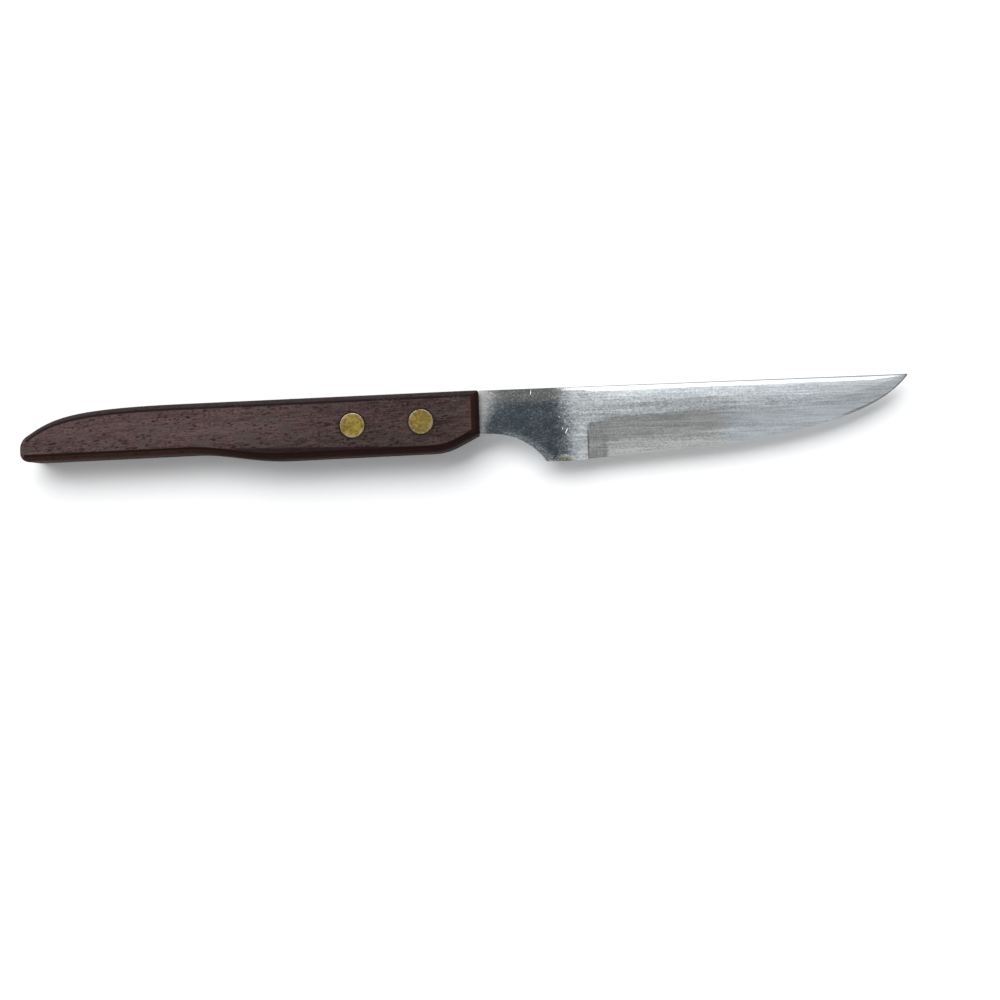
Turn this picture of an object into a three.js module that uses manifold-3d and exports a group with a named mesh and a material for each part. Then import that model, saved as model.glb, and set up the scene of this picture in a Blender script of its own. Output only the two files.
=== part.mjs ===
// A steak knife lying on its side: a hollow-ground steel blade whose short tang is held
// by two brass cutler's rivets in the sawn slot of a one-piece wooden handle.
// Millimetres, +Z up. Lengths run along X from the handle's front face at x = 0, positive
// towards the tip. Depths run down from the spine line at y = 0. z = 0 is the middle of
// the steel, until the last section sets the knife on its side.
import * as THREE from "three";
import { mergeVertices } from "three/addons/utils/BufferGeometryUtils.js";
import Module from "manifold-3d";

const wasm = await Module();
wasm.setup();

// Handle
const handleLength = 108.4;
const handleThickness = 10;
const edgeRound = 1.75; // radius of the rounding along every outer edge
const frontDrop = 0.2; // how far the wood's top lies below the spine at the front face
const frontDepth = 10.4; // underside of the front face, and of the steel that leaves it
const noseDepth = 14.45; // underside where the slanted nose begins
const noseRun = 8.1; // how far back the slanted nose reaches
const noseRound = 3.4; // rounding where the nose meets the underside
const bellyDepth = 14.8;
const bellySetback = 46; // belly, from the front face
const bellyEase = 9; // reach of the curve that leaves the belly
const waistDepth = 12.6;
const waistSetback = 68;
const waistEase = 7; // reach of the curve that leaves the waist
const tailDepth = 13; // underside at the butt
const buttCorner = 0.25; // rounding of the side's flat at the butt's foot, inside the rounded edge
const buttCrown = 1.75; // the same at the butt's top
const tailRun = 39.1; // length of the falling back edge, from the butt
const tailDip = 0.66; // how far the back has dropped where it starts to fall
const tailEase = 27.2; // reach of the curve at the start of the fall
const buttSlope = 32.5; // degrees, the back edge where it meets the butt
const buttEase = 7.6; // reach of the curve at the end of the fall
const buttDepth = 7.9; // depth at which the fall meets the butt's upright end

// Blade
const bladeLength = 101; // from the handle's front face to the tip
const bladeThickness = 1.5;
const heelDepth = 17.4;
const heelEnd = 21.2; // where the cutting edge starts to rise
const choilRadius = 16.2; // round cut-out in front of the handle
const choilCrown = 2.2; // the cut-out's highest point
const bellyStart = 49; // curved part of the edge, back from the tip
const edgeDepth = 15.2; // blade depth where the curved part starts
const edgeEase = 18.2; // reach of the curve where it starts
const edgeRise = 4.1; // degrees, edge against the spine where the curve starts
const pointEase = 12.5; // reach of the curve at the tip
const pointRise = 51.6; // degrees, edge against the spine at the tip
const tipHeight = 0.4; // blunt height of the tip
const plungeX = 25.6; // where the hollow grind starts
const grindDepth = 6.6; // unground strip under the spine
const plungeDip = 2.4; // how much lower the grind starts at its plunge
const plungeFade = 10; // length over which that dip fades
const grindShare = 0.6; // upper limit of the unground strip, as a share of the blade's depth
const grindHollow = 0.12; // hollow below the straight line from grind line to edge
const edgeThickness = 0.2;
const spineBevelWidth = 1.1;
const spineBevelDepth = 0.3;
const spineBevelStart = 18;
const spineBevelRun = 9; // length over which the spine bevel grows to its full width
const spineBevelShare = 0.16; // most of the blade's depth that the spine bevel takes near the tip

// Rivets, each a post pressed into a tube
const frontRivetSetback = 13.55;
const frontRivetDepth = 7.2;
const rearRivetSetback = 29.6;
const rearRivetDepth = 7.45;
const headDiameter = 5.8;
const headThickness = 1.2;
const tubeDiameter = 3.6;
const postDiameter = 2.2;

// Fits
const tangTail = 9.5; // tang left behind the rear rivet
const slotClearance = 0.06; // each side of the steel in the slot
const slotEndGap = 0.3;
const rivetClearance = 0.08; // around a rivet's tube and head
const postClearance = 0.06; // around the post in its tube
const rivetEndGap = 0.25; // at the ends of the post and the tube
const headSink = 0.03; // heads stop just below the wood

// Fineness of curves
const curveSteps = 14;
const cornerSteps = 5;
const edgeRoundSteps = 3;
const edgeSteps = 48;
const hollowSteps = 5;
const roundSteps = 40;
const pointGap = 0.01; // outline points closer than this are one point
const cutMargin = 2; // how far a cutting body reaches past what it cuts
const edgeOverrun = 0.3; // how far the grinding runs off the edge

const degrees = Math.PI / 180;
const rivetPlaces = {
  front: new THREE.Vector2(-frontRivetSetback, -frontRivetDepth),
  rear: new THREE.Vector2(-rearRivetSetback, -rearRivetDepth),
};
const tangLength = rearRivetSetback + tangTail;
const sheetHalf = bladeThickness / 2;
const handleHalf = handleThickness / 2;

const wood = new THREE.MeshStandardMaterial({
  color: 0x54403c,
  roughness: 0.55,
  metalness: 0,
});
const steel = new THREE.MeshStandardMaterial({
  color: 0xb9bec4,
  roughness: 0.32,
  metalness: 1,
});
const brass = new THREE.MeshStandardMaterial({
  color: 0xa58d42,
  roughness: 0.4,
  metalness: 1,
});

// A closed geometry as a solid that can be cut and joined.
function solidOf(geometry) {
  const bare = new THREE.BufferGeometry();
  bare.setAttribute("position", geometry.getAttribute("position"));
  bare.setIndex(geometry.getIndex());
  const merged = mergeVertices(bare);
  return new wasm.Manifold(
    new wasm.Mesh({
      numProp: 3,
      vertProperties: merged.getAttribute("position").array,
      triVerts: new Uint32Array(merged.getIndex().array),
    }),
  );
}

// A solid back as a geometry.
function geometryOf(solid) {
  const { vertProperties, triVerts } = solid.getMesh();
  const geometry = new THREE.BufferGeometry();
  geometry.setAttribute("position", new THREE.BufferAttribute(vertProperties, 3));
  geometry.setIndex(new THREE.BufferAttribute(triVerts, 1));
  geometry.computeVertexNormals();
  return geometry;
}

function namedMesh(name, geometry, material) {
  const mesh = new THREE.Mesh(geometry, material.clone());
  mesh.name = name;
  return mesh;
}

// Skin over rings of as many points each, with a flat cap on the first and the last.
function loft(rings) {
  const count = rings[0].length;
  const index = [];
  for (let ring = 0; ring + 1 < rings.length; ring++) {
    for (let side = 0; side < count; side++) {
      const a = ring * count + side;
      const b = ring * count + ((side + 1) % count);
      index.push(a, b, b + count, a, b + count, a + count);
    }
  }
  const last = (rings.length - 1) * count;
  for (let side = 1; side + 1 < count; side++) {
    index.push(0, side + 1, side);
    index.push(last, last + side, last + side + 1);
  }
  const points = rings.flat();
  return new THREE.BufferGeometry().setFromPoints(points).setIndex(index);
}

// An upright bar through the knife at a rivet.
function bar(place, diameter, bottom, top) {
  const radius = diameter / 2;
  const geometry = new THREE.CylinderGeometry(radius, radius, top - bottom, roundSteps);
  geometry.rotateX(90 * degrees);
  geometry.translate(place.x, place.y, (bottom + top) / 2);
  return solidOf(geometry);
}

// A path as a closed outline, without points that fall together.
function closedOutline(path) {
  const points = path.getPoints(curveSteps);
  const next = (i) => points[(i + 1) % points.length];
  return new THREE.Shape(points.filter((point, i) => point.distanceTo(next(i)) > pointGap));
}

// Rounds a corner that the path is heading for, before it goes on towards another point.
function roundCorner(path, corner, onward, radius) {
  const back = path.currentPoint.clone().sub(corner).normalize();
  const ahead = onward.clone().sub(corner).normalize();
  const half = Math.acos(back.dot(ahead)) / 2;
  const inward = back.clone().add(ahead).normalize();
  const centre = corner.clone().addScaledVector(inward, radius / Math.sin(half));
  const spoke = back.clone().multiplyScalar(radius / Math.tan(half)).add(corner).sub(centre);
  const turn = Math.PI - 2 * half;
  for (let step = 0; step <= cornerSteps; step++) {
    const point = spoke.clone().rotateAround(new THREE.Vector2(), (turn * step) / cornerSteps);
    path.lineTo(centre.x + point.x, centre.y + point.y);
  }
}

// The handle's outline, from the front top corner back along the top and home underneath.
function handleOutline() {
  const tailStart = new THREE.Vector2(tailRun - handleLength, -tailDip);
  const dip = ((tailDip - frontDrop) / (handleLength - tailRun)) * tailEase;
  const buttTop = new THREE.Vector2(-handleLength, -buttDepth);
  const buttFoot = new THREE.Vector2(-handleLength, -tailDepth);
  const waist = new THREE.Vector2(-waistSetback, -waistDepth);
  const belly = new THREE.Vector2(-bellySetback, -bellyDepth);
  const crownRadius = edgeRound + buttCrown;
  const cornerRadius = edgeRound + buttCorner;
  const slope = new THREE.Vector2(1, 0).rotateAround(new THREE.Vector2(), buttSlope * degrees);
  const turn = (90 - buttSlope) * degrees;
  const fallEnd = buttTop.clone().addScaledVector(slope, crownRadius * Math.tan(turn / 2));
  const fallEase = fallEnd.clone().addScaledVector(slope, buttEase);
  const noseAngle = Math.atan2(noseDepth - frontDepth, noseRun);
  const outline = new THREE.Path();
  outline.moveTo(0, -frontDrop);
  outline.lineTo(tailStart.x, tailStart.y);
  outline.bezierCurveTo(
    tailStart.x - tailEase,
    tailStart.y - dip,
    fallEase.x,
    fallEase.y,
    fallEnd.x,
    fallEnd.y,
  );
  roundCorner(outline, buttTop, buttFoot, crownRadius);
  roundCorner(outline, buttFoot, waist, cornerRadius);
  outline.lineTo(waist.x, waist.y);
  outline.bezierCurveTo(
    waist.x + waistEase,
    waist.y,
    belly.x - bellyEase,
    belly.y,
    belly.x,
    belly.y,
  );
  outline.lineTo(-noseRun - noseRound, -noseDepth);
  outline.quadraticCurveTo(
    -noseRun,
    -noseDepth,
    -noseRun + noseRound * Math.cos(noseAngle),
    -noseDepth + noseRound * Math.sin(noseAngle),
  );
  outline.lineTo(0, -frontDepth);
  outline.closePath();
  return closedOutline(outline);
}

// The cutting edge from the heel to the tip.
function edgePoints() {
  const start = new THREE.Vector2(bladeLength - bellyStart, -edgeDepth);
  const tip = new THREE.Vector2(bladeLength, -tipHeight);
  const path = new THREE.Path();
  path.moveTo(heelEnd, -heelDepth);
  path.lineTo(start.x, start.y);
  path.bezierCurveTo(
    start.x + edgeEase * Math.cos(edgeRise * degrees),
    start.y + edgeEase * Math.sin(edgeRise * degrees),
    tip.x - pointEase * Math.cos(pointRise * degrees),
    tip.y - pointEase * Math.sin(pointRise * degrees),
    tip.x,
    tip.y,
  );
  return path.getSpacedPoints(edgeSteps);
}

// The part of the handle's outline that the tang fills, from the top round to the nose.
function tangPoints() {
  const points = handleOutline().getPoints();
  return points.flatMap((point, i) => {
    const next = points[(i + 1) % points.length];
    const kept = point.x >= -tangLength ? [point] : [];
    if (point.x >= -tangLength !== next.x >= -tangLength) {
      kept.push(point.clone().lerp(next, (-tangLength - point.x) / (next.x - point.x)));
    }
    return kept;
  });
}

// Tang, choil, cutting edge and spine in one outline.
function bladeOutline() {
  const centre = -frontDepth - choilRadius;
  const heelAngle = Math.asin((-heelDepth - centre) / choilRadius);
  const outline = new THREE.Path(tangPoints());
  outline.lineTo(choilCrown, -frontDepth);
  outline.absarc(choilCrown, centre, choilRadius, 90 * degrees, heelAngle, true);
  for (const point of edgePoints()) {
    outline.lineTo(point.x, point.y);
  }
  outline.lineTo(bladeLength, 0);
  outline.lineTo(0, 0);
  outline.closePath();
  return closedOutline(outline);
}

// Points along the edge that is ground, as distance from the handle and blade depth.
function groundStations() {
  const points = edgePoints();
  const after = points.findIndex((point) => point.x > plungeX);
  const before = points[after - 1] ?? new THREE.Vector2(plungeX, -heelDepth);
  const share = (plungeX - before.x) / (points[after].x - before.x || 1);
  const plunge = before.clone().lerp(points[after], share);
  const tip = points.at(-1);
  const beyond = new THREE.Vector2(tip.x + cutMargin, tip.y);
  return [plunge, ...points.slice(after), beyond].map(({ x, y }) => ({ x, depth: -y }));
}

// What the grinding wheel takes off one side, +1 above and -1 below.
function grindCutter(side) {
  const rings = groundStations().map(({ x, depth }) => {
    const dip = plungeDip * Math.exp((plungeX - x) / plungeFade);
    const top = Math.min(grindDepth + dip, grindShare * depth);
    const ring = [new THREE.Vector3(x, -top, side * (sheetHalf + cutMargin))];
    for (let step = 0; step <= hollowSteps; step++) {
      const share = step / hollowSteps;
      const straight = THREE.MathUtils.lerp(sheetHalf, edgeThickness / 2, share);
      const z = straight - 4 * grindHollow * share * (1 - share);
      ring.push(new THREE.Vector3(x, -THREE.MathUtils.lerp(top, depth, share), side * z));
    }
    const edge = ring.pop();
    const past = (depth - top) / hollowSteps;
    ring.push(edge.clone().lerp(ring.at(-1), -edgeOverrun / past));
    ring.push(new THREE.Vector3(x, -depth - edgeOverrun, side * (sheetHalf + cutMargin)));
    return side > 0 ? ring.reverse() : ring;
  });
  return solidOf(loft(rings));
}

// What the bevel along the spine takes off one side.
function spineCutter(side) {
  const slope = spineBevelDepth / spineBevelWidth;
  const start = { x: spineBevelStart, depth: heelDepth };
  const full = { x: spineBevelStart + spineBevelRun, depth: heelDepth };
  const stations = groundStations().filter(({ x }) => x > full.x);
  const rings = [start, full, ...stations].map(({ x, depth }) => {
    const grown = Math.min(1, (x - spineBevelStart) / spineBevelRun);
    const width = Math.min(spineBevelWidth * grown, spineBevelShare * depth);
    const low = sheetHalf - slope * (width + cutMargin);
    const ring = [
      new THREE.Vector3(x, cutMargin, side * (sheetHalf + cutMargin)),
      new THREE.Vector3(x, cutMargin, side * low),
      new THREE.Vector3(x, -width, side * sheetHalf),
      new THREE.Vector3(x, -width, side * (sheetHalf + cutMargin)),
    ];
    return side > 0 ? ring.reverse() : ring;
  });
  return solidOf(loft(rings));
}

// Blade and tang, one piece of steel.
function makeBlade() {
  const options = { depth: bladeThickness, bevelEnabled: false };
  const sheet = new THREE.ExtrudeGeometry(bladeOutline(), options);
  sheet.translate(0, 0, -sheetHalf);
  let blade = solidOf(sheet);
  for (const side of [1, -1]) {
    blade = blade.subtract(grindCutter(side));
    blade = blade.subtract(spineCutter(side));
  }
  const reach = sheetHalf + cutMargin;
  for (const place of Object.values(rivetPlaces)) {
    blade = blade.subtract(bar(place, tubeDiameter + 2 * rivetClearance, -reach, reach));
  }
  return namedMesh("blade", geometryOf(blade), steel);
}

// One-piece handle, sawn down the middle for the tang and counterbored for the rivets.
function makeHandle() {
  const geometry = new THREE.ExtrudeGeometry(handleOutline(), {
    depth: handleThickness - 2 * edgeRound,
    bevelEnabled: true,
    bevelThickness: edgeRound,
    bevelSize: edgeRound,
    bevelOffset: -edgeRound,
    bevelSegments: edgeRoundSteps,
  });
  geometry.translate(0, 0, edgeRound - handleHalf);
  const slotLength = tangLength + slotEndGap + cutMargin;
  const slotHeight = 2 * (bellyDepth + cutMargin);
  const slot = new THREE.BoxGeometry(slotLength, slotHeight, bladeThickness + 2 * slotClearance);
  slot.translate(cutMargin - slotLength / 2, 0, 0);
  let handle = solidOf(geometry).subtract(solidOf(slot));
  const reach = handleHalf + cutMargin;
  const seat = handleHalf - headSink - headThickness;
  for (const place of Object.values(rivetPlaces)) {
    handle = handle.subtract(bar(place, tubeDiameter + 2 * rivetClearance, -reach, reach));
    handle = handle.subtract(bar(place, headDiameter + 2 * rivetClearance, seat, reach));
    handle = handle.subtract(bar(place, headDiameter + 2 * rivetClearance, -reach, -seat));
  }
  return namedMesh("handle", geometryOf(handle), wood);
}

// A turned piece from a profile of radius and height, standing on a rivet's axis.
function turned(name, profile, place) {
  const points = profile.map(([radius, height]) => new THREE.Vector2(radius, height));
  const geometry = new THREE.LatheGeometry(points, roundSteps);
  geometry.rotateX(90 * degrees);
  const mesh = namedMesh(name, geometryOf(solidOf(geometry)), brass);
  mesh.position.set(place.x, place.y, 0);
  return mesh;
}

// One rivet: the post's head shows above, the tube's head below.
function makeRivet(name, place) {
  const face = handleHalf - headSink;
  const seat = face - headThickness;
  const headRadius = headDiameter / 2;
  const tubeRadius = tubeDiameter / 2;
  const postRadius = postDiameter / 2;
  const boreRadius = postRadius + postClearance;
  const post = [
    [0, rivetEndGap - seat],
    [postRadius, rivetEndGap - seat],
    [postRadius, seat],
    [headRadius, seat],
    [headRadius, face],
    [0, face],
  ];
  const tube = [
    [0, -face],
    [headRadius, -face],
    [headRadius, -seat],
    [tubeRadius, -seat],
    [tubeRadius, seat - rivetEndGap],
    [boreRadius, seat - rivetEndGap],
    [boreRadius, -seat],
    [0, -seat],
  ];
  return [
    turned(`${name}_rivet_post`, post, place),
    turned(`${name}_rivet_tube`, tube, place),
  ];
}

const knife = new THREE.Group();
knife.add(makeBlade(), makeHandle());
for (const [name, place] of Object.entries(rivetPlaces)) {
  knife.add(...makeRivet(name, place));
}

// The part's origin is under the middle of its box, with the handle's side on z = 0.
const lowest = Math.max(heelDepth, bellyDepth, tailDepth);
knife.position.set((handleLength - bladeLength) / 2, lowest / 2, handleHalf);

const part = new THREE.Group();
part.add(knife);

export default part;
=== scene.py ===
"""Looks of a steak knife on a pale table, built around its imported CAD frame.

The knife is modelled in millimetres in its own frame and then set into the CAD frame. x runs
along the spine from the handle's front face to the tip, y = 0 is the spine line with the knife
below it, and z = 0 is the middle of the steel. In the materials a Span gives the two values
between which a look fades in, and a Size gives a texture's grain along each axis.
"""

import logging
import math
from collections.abc import Callable, Iterable, Sequence
from dataclasses import dataclass
from enum import Enum
from functools import cached_property, reduce
from typing import Any

import bmesh
import bpy
from mathutils import Matrix, Vector

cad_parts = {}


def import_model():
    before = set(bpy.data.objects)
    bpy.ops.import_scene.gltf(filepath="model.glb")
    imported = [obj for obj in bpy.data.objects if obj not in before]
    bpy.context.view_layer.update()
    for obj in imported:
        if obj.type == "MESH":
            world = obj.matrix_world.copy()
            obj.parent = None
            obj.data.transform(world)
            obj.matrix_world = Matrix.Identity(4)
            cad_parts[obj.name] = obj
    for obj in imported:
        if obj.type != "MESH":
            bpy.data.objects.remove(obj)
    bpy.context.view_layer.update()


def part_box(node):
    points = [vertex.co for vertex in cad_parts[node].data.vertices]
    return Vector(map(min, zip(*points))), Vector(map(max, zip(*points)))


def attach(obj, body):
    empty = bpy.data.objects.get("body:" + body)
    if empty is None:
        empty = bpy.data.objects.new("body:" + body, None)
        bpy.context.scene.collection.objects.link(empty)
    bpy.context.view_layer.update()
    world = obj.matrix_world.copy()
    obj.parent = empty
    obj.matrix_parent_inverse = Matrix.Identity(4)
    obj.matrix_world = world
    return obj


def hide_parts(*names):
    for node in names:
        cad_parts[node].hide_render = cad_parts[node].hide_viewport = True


log = logging.getLogger("steak_knife")

MM = 0.001
BODY = "root"

Colour = tuple[float, float, float]
Place = tuple[float, float]
Span = tuple[float, float]
Size = tuple[float, float, float]


class Element(Enum):
    """What a selection in edit mode picks."""

    POINT = "VERT"
    LINE = "EDGE"
    FACE = "FACE"


class Bench:
    """One mesh on the bench, shaped with Blender's operators."""

    def __init__(self, name: str) -> None:
        """Opens the primitive that was added last in edit mode.

        Args:
            name: The piece's name.
        """
        self.piece: bpy.types.Object = bpy.context.object
        self.piece.name = name
        bpy.ops.object.transform_apply(location=True, rotation=True, scale=True)
        bpy.ops.object.mode_set(mode="EDIT")

    @staticmethod
    def clear() -> None:
        """Leaves edit mode with nothing selected."""
        if bpy.context.mode != "OBJECT":
            bpy.ops.object.mode_set(mode="OBJECT")
        bpy.ops.object.select_all(action="DESELECT")

    @classmethod
    def ribbed(cls, name: str, ribs: Sequence[Sequence[Vector]]) -> "Bench":
        """Pulls a sheet out of a grid: each rib is extruded from the last one and shaped.

        Args:
            name: The piece's name.
            ribs: The points of each rib, as many on each.

        Returns:
            The bench with the open sheet, in edit mode.
        """
        rows = len(ribs[0])
        cls.clear()
        bpy.ops.mesh.primitive_grid_add(x_subdivisions=1, y_subdivisions=rows - 1, size=1)
        bench = cls(name)
        for column, rib in enumerate(ribs[:2]):
            for row, place in enumerate(rib):
                bench.drag(2 * row + column, place)
        last = [2 * row + 1 for row in range(rows)]
        for rib in ribs[2:]:
            last = bench.extrude_rib(last, rib)
        return bench

    @classmethod
    def turned(cls, name: str, axis: Place, profile: Sequence[Place], sides: int) -> "Bench":
        """Turns a piece on an upright axis: a disc is extruded and scaled step by step.

        Args:
            name: The piece's name.
            axis: Where the axis stands.
            profile: Radius and height of each step, from the first cap to the last.
            sides: Sides of the round.

        Returns:
            The bench with the closed piece, in edit mode.
        """
        radius, height = profile[0]
        cls.clear()
        bpy.ops.mesh.primitive_circle_add(
            vertices=sides, radius=radius, fill_type="NGON", location=(*axis, height)
        )
        bench = cls(name)
        for next_radius, next_height in profile[1:]:
            bench.extrude((0, 0, next_height - height))
            bench.scale((next_radius / radius, next_radius / radius, 1), (*axis, next_height))
            radius, height = next_radius, next_height
        bench.close()
        return bench

    @classmethod
    def block(cls, name: str, low: Vector, high: Vector) -> "Bench":
        """Adds a block between two corners.

        Args:
            name: The piece's name.
            low: Lowest corner.
            high: Highest corner.

        Returns:
            The bench with the block, in edit mode.
        """
        cls.clear()
        bpy.ops.mesh.primitive_cube_add(size=1, location=(low + high) / 2)
        bpy.context.object.scale = high - low
        return cls(name)

    @property
    def mesh(self) -> bmesh.types.BMesh:
        """The mesh as it is in edit mode."""
        mesh = bmesh.from_edit_mesh(self.piece.data)
        mesh.verts.ensure_lookup_table()
        return mesh

    def select(self, element: Element, test: Callable[[Any], bool]) -> None:
        """Selects what passes a test, and nothing else.

        Args:
            element: What is picked.
            test: Says whether one point, line or face is picked.
        """
        bpy.ops.mesh.select_mode(type=element.value)
        bpy.ops.mesh.select_all(action="DESELECT")
        mesh = self.mesh
        kinds = {Element.POINT: mesh.verts, Element.LINE: mesh.edges, Element.FACE: mesh.faces}
        for item in kinds[element]:
            if test(item):
                item.select_set(True)
        mesh.select_flush_mode()
        bmesh.update_edit_mesh(self.piece.data)

    def select_points(self, indices: Iterable[int]) -> None:
        """Selects points by their numbers, and nothing else."""
        wanted = set(indices)
        self.select(Element.POINT, lambda point: point.index in wanted)

    def drag(self, index: int, place: Vector) -> None:
        """Moves one point to its place.

        Args:
            index: The point's number.
            place: Where it goes.
        """
        move = place - self.mesh.verts[index].co
        self.select_points([index])
        bpy.ops.transform.translate(value=move)

    def extrude(self, move: Sequence[float]) -> None:
        """Extrudes what is selected and moves it."""
        bpy.ops.mesh.extrude_region_move(TRANSFORM_OT_translate={"value": move})

    def scale(self, factors: Sequence[float], centre: Sequence[float]) -> None:
        """Scales what is selected about a centre."""
        bpy.ops.transform.resize(value=factors, center_override=centre)

    def extrude_rib(self, last: Sequence[int], rib: Sequence[Vector]) -> list[int]:
        """Extrudes one rib from the last and drags its points to their places.

        Args:
            last: The last rib's point numbers.
            rib: Where the new points go.

        Returns:
            The new rib's point numbers.
        """
        starts = [self.mesh.verts[index].co.copy() for index in last]
        step = rib[0] - starts[0]
        self.select_points(last)
        self.extrude(step)
        mesh = self.mesh
        mesh.verts.index_update()
        fresh = [(point.index, point.co.copy()) for point in mesh.verts if point.select]
        made = []
        for start in starts:
            nearest = min(fresh, key=lambda item: (item[1] - start - step).length_squared)
            made.append(nearest[0])
        for index, place in zip(made, rib):
            self.drag(index, place)
        return made

    def close(self) -> None:
        """Merges doubles, closes open ends and turns the faces outwards."""
        merge_distance = 1e-5
        bpy.ops.mesh.select_mode(type=Element.POINT.value)
        bpy.ops.mesh.select_all(action="SELECT")
        bpy.ops.mesh.remove_doubles(threshold=merge_distance)
        bpy.ops.mesh.fill_holes(sides=0)
        bpy.ops.mesh.select_all(action="SELECT")
        bpy.ops.mesh.normals_make_consistent(inside=False)

    def modify(self, kind: str, **settings: Any) -> None:
        """Adds a modifier and applies it.

        Args:
            kind: The modifier's type.
            **settings: Its settings.
        """
        bpy.ops.object.mode_set(mode="OBJECT")
        modifier = self.piece.modifiers.new(kind.title(), kind)
        for name, value in settings.items():
            setattr(modifier, name, value)
        bpy.ops.object.modifier_apply(modifier=modifier.name)
        bpy.ops.object.mode_set(mode="EDIT")

    def cut(self, cutter: "Bench") -> None:
        """Cuts another bench's piece out of this one and throws that piece away.

        Args:
            cutter: The bench that holds the cutting piece.
        """
        self.clear()
        self.piece.select_set(True)
        bpy.context.view_layer.objects.active = self.piece
        self.modify("BOOLEAN", operation="DIFFERENCE", solver="EXACT", object=cutter.piece)
        bpy.data.objects.remove(cutter.piece)

    def finish(self, origin: Vector, smooth_angle: float = 32) -> bpy.types.Object:
        """Smooths the piece and sets it into the CAD frame, in metres.

        Args:
            origin: The knife frame's origin in the CAD frame.
            smooth_angle: Edges flatter than this many degrees shade smooth.

        Returns:
            The finished piece, at the origin, unturned and unscaled.
        """
        bpy.ops.object.mode_set(mode="OBJECT")
        bpy.ops.object.shade_smooth_by_angle(angle=math.radians(smooth_angle))
        self.modify("WEIGHTED_NORMAL", keep_sharp=True)
        bpy.ops.object.mode_set(mode="OBJECT")
        self.piece.scale = (MM, MM, MM)
        self.piece.location = origin
        bpy.ops.object.transform_apply(location=True, rotation=True, scale=True)
        return self.piece


class Wire:
    """A node's output, which Python arithmetic turns into Math nodes."""

    def __init__(self, wiring: "Wiring", socket: bpy.types.NodeSocket) -> None:
        """Keeps the output and the tree that it belongs to."""
        self.wiring = wiring
        self.socket = socket

    def math(self, operation: str, *terms: "Wire | float") -> "Wire":
        """Adds one Math node on these terms."""
        return self.wiring.node("ShaderNodeMath", {"operation": operation}, dict(enumerate(terms)))

    def __add__(self, other: "Wire | float") -> "Wire":
        """Sum."""
        return self.math("ADD", self, other)

    __radd__ = __add__

    def __sub__(self, other: "Wire | float") -> "Wire":
        """Difference."""
        return self.math("SUBTRACT", self, other)

    def __rsub__(self, other: "Wire | float") -> "Wire":
        """Difference from a number."""
        return self.math("SUBTRACT", other, self)

    def __mul__(self, other: "Wire | float") -> "Wire":
        """Product."""
        return self.math("MULTIPLY", self, other)

    __rmul__ = __mul__

    def __abs__(self) -> "Wire":
        """Size without sign."""
        return self.math("ABSOLUTE", self)

    def most(self, other: "Wire | float") -> "Wire":
        """The larger of two values."""
        return self.math("MAXIMUM", self, other)

    def rise(self, low: float, high: float) -> "Wire":
        """A smooth step that is 0 at low and 1 at high, whichever is larger."""
        return self.wiring.node(
            "ShaderNodeMapRange",
            {"interpolation_type": "SMOOTHSTEP"},
            {"Value": self, "From Min": low, "From Max": high},
        )

    def output(self, name: str) -> "Wire":
        """Another output of the same node."""
        return Wire(self.wiring, self.socket.node.outputs[name])


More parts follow.
